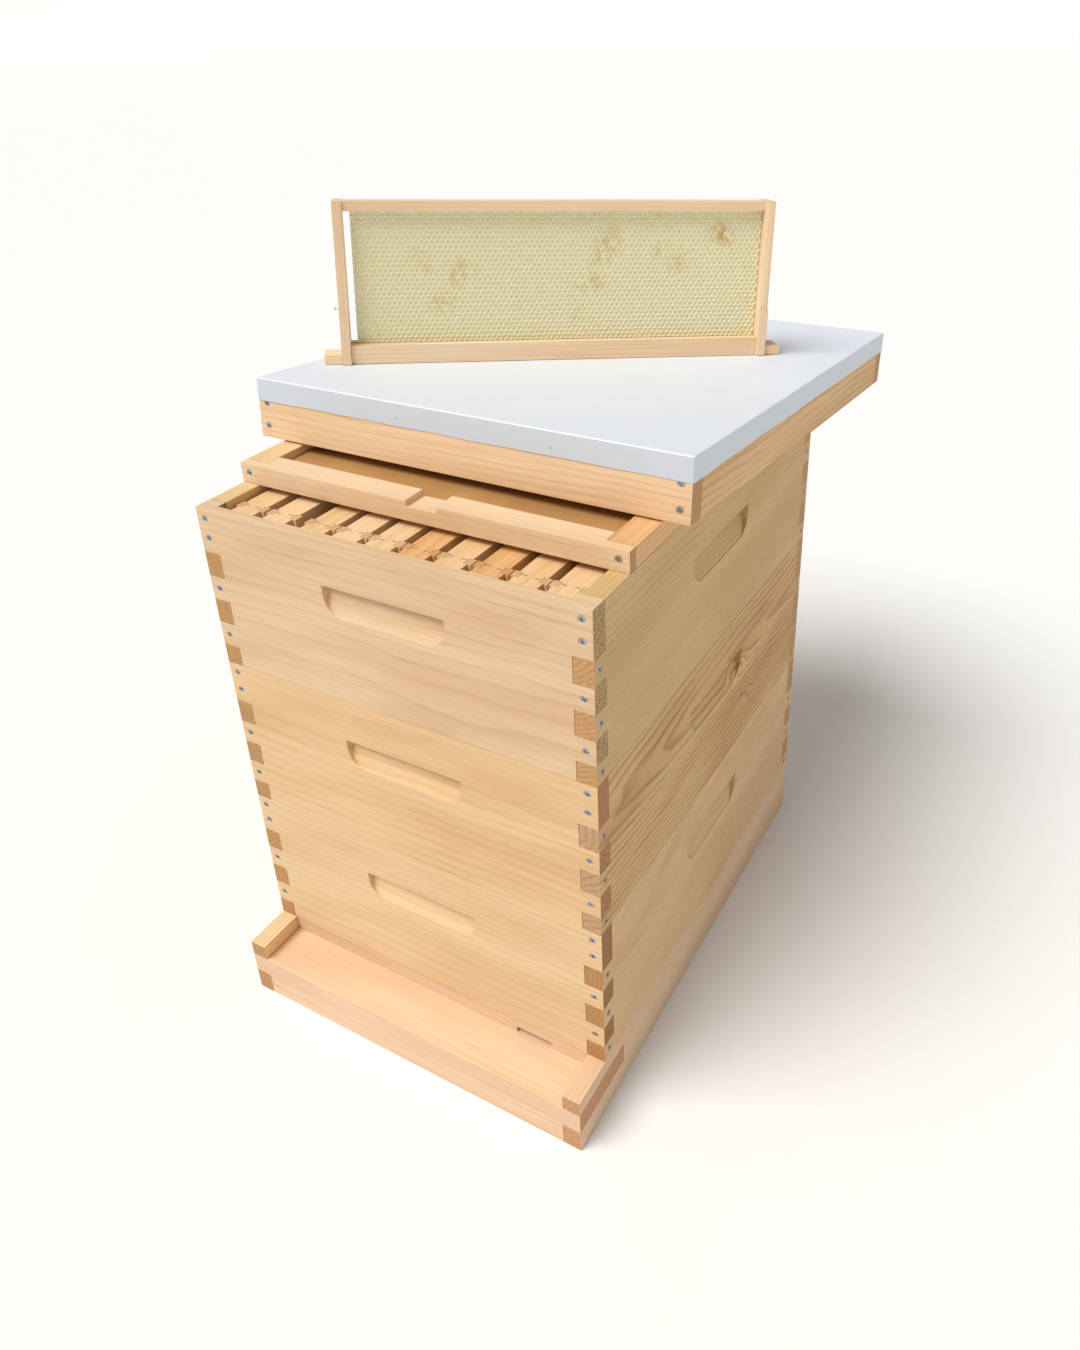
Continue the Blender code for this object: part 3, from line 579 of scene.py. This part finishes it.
def cell_field(columns, rows, rimmed):
    """One face of a sheet of foundation: hexagonal cells with their floors pressed in."""
    cell = bmesh.new()
    for shift, rise in ((0.0, 0.0), (CELL_WIDTH / 2, CELL_ROW)):
        corner = Matrix.Rotation(math.pi / 6, 4, 'Z')
        middle = Matrix.Translation((shift, rise, 0))
        bmesh.ops.create_circle(cell, cap_ends=True, segments=6,
                                radius=CELL_WIDTH / math.sqrt(3), matrix=middle @ corner)
    if rimmed:
        bmesh.ops.inset_individual(cell, faces=cell.faces, thickness=CELL_WALL / 2)
    floors = [face for face in cell.faces if len(face.verts) == 6]
    bmesh.ops.inset_individual(cell, faces=floors, thickness=CELL_SLOPE, depth=-CELL_DEPTH)
    # The floors take the second material, whose darker, yellower colours are painted shade in the
    # cells.
    for face in cell.faces:
        face.material_index = 1 if len(face.verts) == 6 else 0
    bmesh.ops.remove_doubles(cell, verts=cell.verts, dist=WELD)
    mesh = bpy.data.meshes.new("cells")
    cell.to_mesh(mesh)
    cell.free()
    field = bpy.data.objects.new("cells", mesh)
    bpy.context.scene.collection.objects.link(field)
    for count, step in ((columns, (CELL_WIDTH, 0, 0)), (rows, (0, 2 * CELL_ROW, 0))):
        array = field.modifiers.new("repeat", 'ARRAY')
        array.use_relative_offset = False
        array.use_constant_offset = True
        array.constant_offset_displace = step
        array.count = count
        array.use_merge_vertices = True
        array.merge_threshold = 2 * WELD
    scene_now = bpy.context.evaluated_depsgraph_get()
    sheet = bpy.data.meshes.new_from_object(field.evaluated_get(scene_now))
    bpy.data.objects.remove(field, do_unlink=True)
    return sheet


def foundation(low, high, place, rimmed=True):
    """A sheet with a honeycomb pressed into both faces, between two corners in the frame."""
    half = (high.x - low.x) / 2
    columns = int((high.y - low.y) / CELL_WIDTH - 0.5)
    rows = int((high.z - low.z) / (2 * CELL_ROW))
    sheet = cell_field(columns, rows, rimmed)
    margin = ((high.y - low.y) - (columns + 0.5) * CELL_WIDTH) / 2
    margin_up = ((high.z - low.z) - (2 * rows - 1) * CELL_ROW) / 2
    start = Vector((low.y + margin + CELL_WIDTH / 2, low.z + margin_up, 0))
    form = bmesh.new()
    for face in (1, -1):
        copy = sheet.copy()
        copy.transform(Matrix.Translation(start))
        # Stand the cells up in the frame: their X along it, their Y up it.
        lie = Matrix(((0, 0, face * 1.0, (low.x + high.x) / 2 + face * half),
                      (1, 0, 0, 0), (0, 1, 0, 0), (0, 0, 0, 1)))
        copy.transform(place @ lie)
        if face < 0:
            copy.flip_normals()
        form.from_mesh(copy)
        bpy.data.meshes.remove(copy)
    # The core stays inside the cells' floors, so that it never shows through them.
    core = Vector((1.6 * (half - CELL_DEPTH), high.y - low.y, high.z - low.z))
    bmesh.ops.create_cube(form, size=1.0, matrix=place @ Matrix.Translation(
        (low + high) / 2) @ Matrix.Diagonal((*core, 1)))
    bpy.data.meshes.remove(sheet)
    return form


def waxed_plastic(name, place, pale, deep, blotches=()):
    """Cream plastic foundation rolled with beeswax, which gathers as amber blotches.

    A blotch is its place along and up the frame and its radius, in mm, and its strength.
    """
    material, tree = new_material(name)
    _, local = board_space(tree, place)
    cloud = add_node(tree, "TexNoise", {"Vector": local, "Scale": 0.016, "Detail": 3.0})
    amber = add_node(tree, "MapRange", {
        "Value": cloud, "From Min": 0.62, "From Max": 0.78, "To Max": 0.5})
    grains = add_node(tree, "TexNoise", {"Vector": local, "Scale": 0.16, "Detail": 2.0})
    patch = add_node(tree, "MapRange", {"Value": grains, "From Min": 0.38, "From Max": 0.6})
    for along, up, radius, strength in blotches:
        flat = add_node(tree, "VectorMath", {0: local, 1: (0.0, 1.0, 1.0)}, operation='MULTIPLY')
        apart = add_node(tree, "VectorMath", {
            0: flat, 1: (0.0, along, up)}, operation='DISTANCE').outputs["Value"]
        near = add_node(tree, "MapRange", {
            "Value": apart, "From Max": radius, "To Min": strength, "To Max": 0.0})
        amber = add_node(tree, "Math", {0: amber, 1: near}, operation='MAXIMUM')
    amber = add_node(tree, "Math", {0: amber, 1: patch}, operation='MULTIPLY')
    wax = add_node(tree, "MixRGB", {"Fac": grains, "Color1": linear(pale), "Color2": linear(deep)})
    wax = add_node(tree, "MixRGB", {"Fac": amber, "Color1": wax, "Color2": linear("#DFAE55")})
    shader = add_node(tree, "BsdfPrincipled", {
        "Base Color": wax, "Roughness": 0.5, "IOR": 1.44})
    add_node(tree, "OutputMaterial", {"Surface": shader})
    return material


FRAME_COLOURS = (
    ("#EFCB9B", "#D09A5C", "#DDB383"),
    ("#F1D0A4", "#D8A56C", "#E2BC90"),
    ("#EBBD84", "#C17F3F", "#D6A36C"),
    ("#F2CFA6", "#CFA06A", "#DDB68A"),
)
ALONG_Y = Matrix(((0, 1, 0), (1, 0, 0), (0, 0, -1))).to_4x4()
UPRIGHT = Matrix(((0, 0, 1), (0, 1, 0), (-1, 0, 0))).to_4x4()
FRAME_WOODS = []
for number, colours in enumerate(FRAME_COLOURS, start=1):
    bars = pine("frame_pine_%d" % number, Matrix.Translation((0.03 * number, 0, 0)) @ ALONG_Y,
                *colours, pith=(60, -45), ring=3.2, figure=0.5, ends_from=0.0)
    ends = pine("frame_pine_upright_%d" % number, UPRIGHT, *colours, pith=(30, -45),
                ring=3.2, figure=0.45, ends_from=0.0)
    FRAME_WOODS.append((bars, ends))
# The floors' material is painted darker and yellower than the rims': painted shade in the cells.
WAX = (waxed_plastic("waxed_plastic_rims", SPARE_PLACE, "#FFFBE6", "#FBF4CE"),
       waxed_plastic("waxed_plastic_painted_shade_floors", SPARE_PLACE, "#EDE5B4", "#E2D898"))

spare_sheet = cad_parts["spare_frame_foundation"].data
spare_low, spare_high = corners([to_pattern @ vert.co for vert in spare_sheet.vertices])
bar_points = [vert.co for vert in PATTERN["left_end_bar"].vertices]
END_BAR_REACH = abs(sum(point.y for point in bar_points)) / len(bar_points)
TOP_BAR_HALF_WIDTH = max(vert.co.x for vert in PATTERN["top_bar"].vertices)
# The spare frame's sheet stops short at one end. A hung one reaches as far at both ends.
hung_low = Vector((spare_low.x, min(spare_low.y, -spare_high.y), spare_low.z))
hung_high = Vector((spare_high.x, max(spare_high.y, -spare_low.y), spare_high.z))


def add_hung_frame(name, place, woods, body):
    """A frame hanging in a super, with its staples and its foundation."""
    add_piece(name + "_wood_bars", frame_wood(place), woods, body, "frame_pine", name + "_wood")
    sheet = foundation(hung_low, hung_high, place, rimmed=False)
    add_piece(name + "_cells", sheet, WAX, body, "waxed_foundation", name + "_foundation")
    staples = bmesh.new()
    top_staples(staples, place, END_BAR_REACH, TOP_BAR_HALF_WIDTH)
    add_piece(name + "_staples", staples, [ZINC], body, "zinc_fasteners")


def hung_place(number, rise=0.0):
    """Where a hanging frame's top bar is, mid-way along its top: as in the upper super."""
    low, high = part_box("upper_frame_%02d_wood" % number)
    return Matrix.Translation(((low.x + high.x) / 2, (low.y + high.y) / 2, high.z + rise))


WOOD_ORDER = (0, 1, 0, 3, 1, 2, 0, 2, 0, 1)
for number, wood in enumerate(WOOD_ORDER, start=1):
    add_hung_frame("upper_frame_%02d" % number, hung_place(number), FRAME_WOODS[wood],
                   "frame_%02d" % number)


def join_in(whole, part):
    """Add one bmesh's faces to another, and free it."""
    mesh = bpy.data.meshes.new("part")
    part.to_mesh(mesh)
    part.free()
    whole.from_mesh(mesh)
    bpy.data.meshes.remove(mesh)


def plain_sheet(low, high, place):
    """A foundation without its cells, for the frames that are hidden between others."""
    form = bmesh.new()
    size = Matrix.Diagonal((*(high - low), 1))
    bmesh.ops.create_cube(form, size=1.0,
                          matrix=place @ Matrix.Translation((low + high) / 2) @ size)
    return form


for level in ("lower", "middle"):
    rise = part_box(level + "_frame_set")[1].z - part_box("upper_frame_01_wood")[1].z
    wood = bmesh.new()
    sheets = bmesh.new()
    staples = bmesh.new()
    for number in range(1, 11):
        place = hung_place(number, rise)
        bars = frame_wood(place)
        for face in bars.faces:
            face.material_index += 2 * (number % len(FRAME_WOODS))
        join_in(wood, bars)
        if number in (1, 10):
            join_in(sheets, foundation(hung_low, hung_high, place, rimmed=False))
        else:
            join_in(sheets, plain_sheet(hung_low, hung_high, place))
        top_staples(staples, place, END_BAR_REACH, TOP_BAR_HALF_WIDTH)
    add_piece(level + "_frames_wood_bars", wood, [look for pair in FRAME_WOODS for look in pair],
              level + "_frames", "frame_pine", level + "_frame_set")
    add_piece(level + "_frames_sheets", sheets, WAX, level + "_frames", "waxed_foundation")
    add_piece(level + "_frames_staples", staples, [ZINC], level + "_frames", "zinc_fasteners")


# Inner cover ---------------------------------------------------------------------------------
# Four rails of pine, grooved for a panel of brown hardboard with a bee hole. The end rails
# lap over the side rails and are screwed to them, and the front one has an upper entrance.


def hardboard():
    """Oil-tempered hardboard: warm brown, smooth, with a faint press of short fibres."""
    material, tree = new_material("tempered_hardboard")
    place = add_node(tree, "TexCoord")
    local = add_node(tree, "Mapping", {
        "Vector": place.outputs["Object"], "Scale": (MM_PER_METRE,) * 3})
    felt = add_node(tree, "TexNoise", {"Vector": local, "Scale": 0.8, "Detail": 4.0})
    cloud = add_node(tree, "TexNoise", {"Vector": local, "Scale": 0.02, "Detail": 2.0})
    tone = add_node(tree, "MixRGB", {
        "Fac": cloud, "Color1": linear("#C4975F"), "Color2": linear("#A87C48")})
    fleck = add_node(tree, "MapRange", {"Value": felt, "To Min": 0.85, "To Max": 1.12})
    tone = add_node(tree, "VectorMath", {0: tone, "Scale": fleck}, operation='SCALE')
    relief = add_node(tree, "Bump", {"Height": felt, "Strength": 0.3, "Distance": 0.0001})
    shader = add_node(tree, "BsdfPrincipled", {
        "Base Color": tone, "Roughness": 0.5, "IOR": 1.5, "Normal": relief})
    add_node(tree, "OutputMaterial", {"Surface": shader})
    return material


RAIL_SCREW_FROM_SIDE = 0.010
RAIL_SCREW_RISE = 0.011
INNER_LOOKS = {
    "front": (("#EFD1AC", "#D8AC7A", "#C4935C"), dict(pith=(70, -60), figure=0.4)),
    "rear": (PALE, dict(pith=(50, -60), figure=0.45)),
    "left": (("#EBCB9B", "#D2A268", "#C4935C"), dict(pith=(60, -50), figure=0.4)),
    "right": (("#E8B985", "#C88C50", "#B07C48"), dict(pith=(40, -60), figure=0.55)),
}
rail_screws = []
for side, (colours, look) in INNER_LOOKS.items():
    node = "inner_cover_%s_rail" % side
    form = merged(node)
    wood = pine("pine_" + node, board_axes(form), *colours, **look)
    ease(form)
    if side in ("front", "rear"):
        low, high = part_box(node)
        face = low.y if side == "front" else high.y
        places = []
        for along in (low.x + RAIL_SCREW_FROM_SIDE, high.x - RAIL_SCREW_FROM_SIDE):
            point = (along, face, low.z + RAIL_SCREW_RISE)
            places.append(driven(point, OUTWARDS[side]))
        form = countersink(form, places)
        rail_screws += places
    add_piece(node + "_wood", form, [wood], "inner_cover", "pine", node)
add_screws("inner_cover_screws", rail_screws, "inner_cover")
add_piece("inner_cover_hardboard", ease(merged("inner_cover_panel"), 0.0002), [hardboard()],
          "inner_cover", "hardboard", "inner_cover_panel")


# Outer cover ---------------------------------------------------------------------------------
# Four pine rims, butted and screwed, carry a board top under a tray of thin galvanised
# sheet, folded down at the edges and nailed.

SHEET = 0.0006
TRAY_TRIM = 0.0004          # leaves room for the nails' heads
FOLD_RADIUS = 0.0014
FOLD_WAVE = 0.0007          # how far the lower edges stray from straight
FOLD_SWAY = 0.0006          # how far they lean in
TOP_DIP = 0.0003            # the top's shallow dents
WAVE_SCALE = 22.0           # waves per metre
DENT_SCALE = 9.0
NAIL_RADIUS = 0.0013
NAIL_PROUD = 0.0005
NAIL_RISE = 0.0075          # above the fold's lower edge
SHORT_SIDE_NAILS = (0.0626, -0.1016)
LONG_SIDE_NAILS = (-0.264, -0.080, 0.112)
COVER_SCREW_FROM_SIDE = 0.0102
COVER_SCREW_RISES = (0.012, 0.0345)
COVER_LOOKS = {
    "front_rim": (("#F2D1AB", "#D9A870", "#C4935C"), dict(pith=(60, -60), figure=0.6)),
    "rear_rim": (PALE, dict(pith=(50, -60), figure=0.45)),
    "left_rim": (PALE, dict(pith=(60, -50), figure=0.4)),
    "right_rim": (("#E8BF8B", "#BE8648", "#B07C48"), dict(pith=(45, -50), figure=0.7)),
    "top_board": (YELLOW, dict(pith=(90, -60), figure=0.5)),
}
cover_screws = []
for part, (colours, look) in COVER_LOOKS.items():
    node = "outer_cover_" + part
    form = merged(node)
    axes = board_axes(form)
    wood = pine("pine_" + node, axes, *colours, **look)
    if part in ("front_rim", "rear_rim"):
        turn = axes.to_3x3()
        back = axes.inverted()
        low, high = corners([back @ vert.co for vert in form.verts])
        up = turn.col[1] if turn.col[1].z > 0 else -turn.col[1]
        half_height = max(-low.y, high.y)
        places = []
        for end in (-1, 1):
            for rise in COVER_SCREW_RISES:
                point = (axes.translation + turn.col[0] * end * (high.x - COVER_SCREW_FROM_SIDE)
                         + up * (rise - half_height) + turn.col[2] * high.z)
                places.append(driven(point, turn.col[2]))
        form = countersink(ease(form), places)
        cover_screws += places
    else:
        ease(form)
    add_piece(node + "_wood", form, [wood], "outer_cover", "pine", node)
add_screws("outer_cover_screws", cover_screws, "outer_cover")


def galvanised():
    """Hot-dip galvanised sheet: pale blue-white zinc, satin, with soft cloudy spangle.

    The faces that turn away from straight up, the folded edges, are mixed towards a greyer tone:
    painted shade.
    """
    material, tree = new_material("galvanised_sheet")
    place = add_node(tree, "TexCoord")
    local = add_node(tree, "Mapping", {
        "Vector": place.outputs["Object"], "Scale": (MM_PER_METRE,) * 3})
    spangle = add_node(tree, "TexVoronoi", {"Vector": local, "Scale": 0.12})
    cloud = add_node(tree, "TexNoise", {"Vector": local, "Scale": 0.01, "Detail": 3.0})
    rough = add_node(tree, "MapRange", {
        "Value": spangle.outputs["Color"], "To Min": 0.5, "To Max": 0.56})
    tone = add_node(tree, "MixRGB", {
        "Fac": cloud, "Color1": linear("#EEF3FD"), "Color2": linear("#E7EEF9")})
    # Painted shade: the less a face points up, the more it is mixed towards the darker grey.
    upright = add_node(tree, "VectorMath", {
        0: place.outputs["Normal"], 1: (0.0, 0.0, 1.0)}, operation='DOT_PRODUCT').outputs["Value"]
    folded = add_node(tree, "MapRange", {
        "Value": upright, "From Min": 0.3, "From Max": 0.8, "To Min": 1.0, "To Max": 0.0})
    tone = add_node(tree, "MixRGB", {
        "Fac": folded, "Color1": tone, "Color2": linear("#D2D9E2")})
    shader = add_node(tree, "BsdfPrincipled", {
        "Base Color": tone, "Metallic": 0.2, "Roughness": rough})
    add_node(tree, "OutputMaterial", {"Surface": shader})
    return material


def add_cover_sheet():
    """The folded tray, its lower edges a little wavy from the folding."""
    form = merged("outer_cover_sheet")
    axes = board_axes(form)
    back = axes.inverted()
    low, high = corners([back @ vert.co for vert in form.verts])
    form.free()
    size = high - low - Vector((TRAY_TRIM, TRAY_TRIM, 0))
    tray = bmesh.new()
    bmesh.ops.create_cube(tray, size=1.0, matrix=Matrix.Diagonal((*size, 1)))
    lowest = min(tray.faces, key=lambda face: face.calc_center_median().z)
    bmesh.ops.delete(tray, geom=[lowest], context='FACES_ONLY')
    bmesh.ops.bevel(tray, geom=[edge for edge in tray.edges if not edge.is_boundary],
                    offset=FOLD_RADIUS, offset_type='OFFSET', segments=3, profile=0.5,
                    affect='EDGES', material=-1)
    for axis, count in ((0, 60), (1, 48)):
        for step in range(1, count):
            normal = Vector((0, 0, 0))
            normal[axis] = 1.0
            spot = normal * (step / count - 0.5) * size[axis] * 0.985
            bmesh.ops.bisect_plane(tray, geom=tray.verts[:] + tray.edges[:] + tray.faces[:],
                                   plane_co=spot, plane_no=normal)
    for vert in tray.verts:
        wave = noise.noise(vert.co * WAVE_SCALE)
        if vert.co.z < 0:
            vert.co.z += FOLD_WAVE * (0.5 + wave)
            sideways = 0 if abs(vert.co.x) > size.x / 2 - 0.001 else 1
            vert.co[sideways] -= math.copysign(FOLD_SWAY * max(0.0, wave), vert.co[sideways])
        else:
            vert.co.z -= TOP_DIP * (0.5 + 0.5 * noise.noise(vert.co * DENT_SCALE))
    bmesh.ops.transform(tray, matrix=axes, verts=tray.verts)
    bmesh.ops.recalc_face_normals(tray, faces=tray.faces)
    sheet = add_piece("outer_cover_tray", tray, [galvanised()], "outer_cover",
                      "galvanised_sheet", "outer_cover_sheet")
    wall = sheet.modifiers.new("wall", 'SOLIDIFY')
    wall.thickness = SHEET * 0.8
    wall.offset = -1.0
    return axes, size


def add_cover_nails(axes, size):
    """Small round nails through the folded edges, along each side of the tray."""
    heads = bmesh.new()
    for sideways, reach, spots in ((0, size.x / 2, SHORT_SIDE_NAILS),
                                   (1, size.y / 2, LONG_SIDE_NAILS)):
        for direction in (-1, 1):
            for spot in spots:
                local = Vector((0, 0, NAIL_RISE - size.z / 2))
                local[sideways] = direction * (reach - 0.0001)
                local[1 - sideways] = spot
                out = Vector((0, 0, 0))
                out[sideways] = direction
                place = driven(axes @ local, axes.to_3x3() @ out)
                bmesh.ops.create_cone(heads, cap_ends=True, segments=12, radius1=NAIL_RADIUS,
                                      radius2=NAIL_RADIUS * 0.7, depth=NAIL_PROUD,
                                      matrix=place)
    add_piece("outer_cover_nails", heads, [ZINC], "outer_cover", "zinc_fasteners")


sheet_axes, sheet_size = add_cover_sheet()
add_cover_nails(sheet_axes, sheet_size)


# Spare frame ---------------------------------------------------------------------------------
# One more frame of the same pattern, standing upside down on its top bar. Its foundation
# stops short of one end bar.

SPARE_COLOURS = ("#F7DAB4", "#E2B584", "#E0B88C")
spare_bars = pine("frame_pine_spare", SPARE_PLACE @ ALONG_Y, *SPARE_COLOURS, pith=(60, -45),
                  ring=3.2, figure=0.4, ends_from=0.0)
spare_ends = pine("frame_pine_spare_upright", SPARE_PLACE @ UPRIGHT, *SPARE_COLOURS,
                  pith=(30, -45), ring=3.2, figure=0.4, ends_from=0.0)
add_piece("spare_frame_wood", frame_wood(SPARE_PLACE), [spare_bars, spare_ends], "spare_frame",
          "frame_pine", *["spare_frame_" + part for part in FRAME_BARS + FRAME_ENDS])
sheet_middle = (spare_low.z + spare_high.z) / 2 * MM_PER_METRE
blotches = []
for along, down, radius, strength in ((173, 41, 17, 1.0), (52, 35, 20, 0.6), (44, 20, 18, 0.5),
                                      (-102, 4, 20, 0.6), (-120, -26, 18, 0.4),
                                      (126, 15, 16, 0.5), (106, 25, 12, 0.45)):
    blotches.append((along, sheet_middle - down, radius, strength))
# The floors' material is painted darker and yellower than the rims': painted shade in the cells.
spare_wax = [waxed_plastic("waxed_plastic_spare_rims", SPARE_PLACE, "#FFFBE6", "#FBF4CE",
                           blotches),
             waxed_plastic("waxed_plastic_spare_painted_shade_floors", SPARE_PLACE, "#EDE5B4", "#E2D898",
                           blotches)]
add_piece("spare_frame_cells", foundation(spare_low, spare_high, SPARE_PLACE), spare_wax,
          "spare_frame", "waxed_foundation", "spare_frame_foundation")

# A splinter on the outer side of one end bar: a thin stalk with a curl at its tip.
SPLINTER_ASIDE = 0.002
SPLINTER_RISE = -0.0525
splinter = bmesh.new()
outer_face = min(vert.co.y for part in FRAME_ENDS for vert in PATTERN[part].vertices)
for reach, width, length in ((0.0020, 0.0007, 0.0040), (0.0042, 0.0017, 0.0018)):
    point = (SPLINTER_ASIDE, outer_face - reach, SPLINTER_RISE - reach * 0.3)
    place = SPARE_PLACE @ Matrix.Translation(point)
    bmesh.ops.create_icosphere(splinter, subdivisions=2, radius=1.0,
                               matrix=place @ Matrix.Diagonal((width, length / 2, width, 1)))
add_piece("spare_frame_splinter", splinter, [spare_bars], "spare_frame", "frame_pine")


# Floor, light and camera ---------------------------------------------------------------------
# A plain pale floor, a wide soft light above and in front on the left, and a pale room.

FLOOR_RADIUS = 26.0
COVE_STEPS = 14
COVE_STEP = 0.75
floor_form = bmesh.new()
bmesh.ops.create_circle(floor_form, cap_ends=True, segments=96, radius=FLOOR_RADIUS)
for step in range(1, COVE_STEPS + 1):
    turn = math.pi / 2 * (step - 0.5) / COVE_STEPS
    rim = [edge for edge in floor_form.edges if edge.is_boundary]
    raised = bmesh.ops.extrude_edge_only(floor_form, edges=rim)["geom"]
    for vert in raised:
        if isinstance(vert, bmesh.types.BMVert):
            outwards = Vector((vert.co.x, vert.co.y, 0)).normalized()
            vert.co += outwards * COVE_STEP * math.cos(turn)
            vert.co.z += COVE_STEP * math.sin(turn)
bmesh.ops.recalc_face_normals(floor_form, faces=floor_form.faces)
for face in floor_form.faces:
    face.smooth = True
floor_mesh = bpy.data.meshes.new("floor")
floor_form.to_mesh(floor_mesh)
floor_form.free()
floor_paint, floor_tree = new_material("matt_white_floor")
floor_shader = add_node(floor_tree, "BsdfPrincipled", {
    "Base Color": linear("#F3F3F3"), "Roughness": 0.95})
add_node(floor_tree, "OutputMaterial", {"Surface": floor_shader})
floor_mesh.materials.append(floor_paint)
floor = bpy.data.objects.new("floor", floor_mesh)
bpy.context.scene.collection.objects.link(floor)

room = bpy.data.worlds.new("room")
room.use_nodes = True
room.node_tree.nodes["Background"].inputs["Color"].default_value = linear("#F5F4F2")
room.node_tree.nodes["Background"].inputs["Strength"].default_value = 0.35
bpy.context.scene.world = room
bpy.context.scene.view_settings.view_transform = 'Standard'

softbox = bpy.data.lights.new("softbox", 'SUN')
softbox.energy = 2.85
softbox.angle = math.radians(36)
softbox.color = linear("#FFFDF9")[:3]
softbox_stand = bpy.data.objects.new("softbox", softbox)
softbox_stand.rotation_euler = Vector((0.26, 0.43, -0.865)).to_track_quat('-Z', 'Y').to_euler()
bpy.context.scene.collection.objects.link(softbox_stand)

# Seen from a little above, in front and to the right.
lens = bpy.data.cameras.new("camera")
lens.lens = 28.69
lens.shift_x = -0.0299
lens.shift_y = -0.0872
lens.clip_end = 100.0
camera = bpy.data.objects.new("camera", lens)
camera.location = (0.5437, -0.9102, 0.9846)
camera.rotation_euler = tuple(math.radians(angle) for angle in (61.897, 1.672, 29.305))
bpy.context.scene.collection.objects.link(camera)
bpy.context.scene.camera = camera
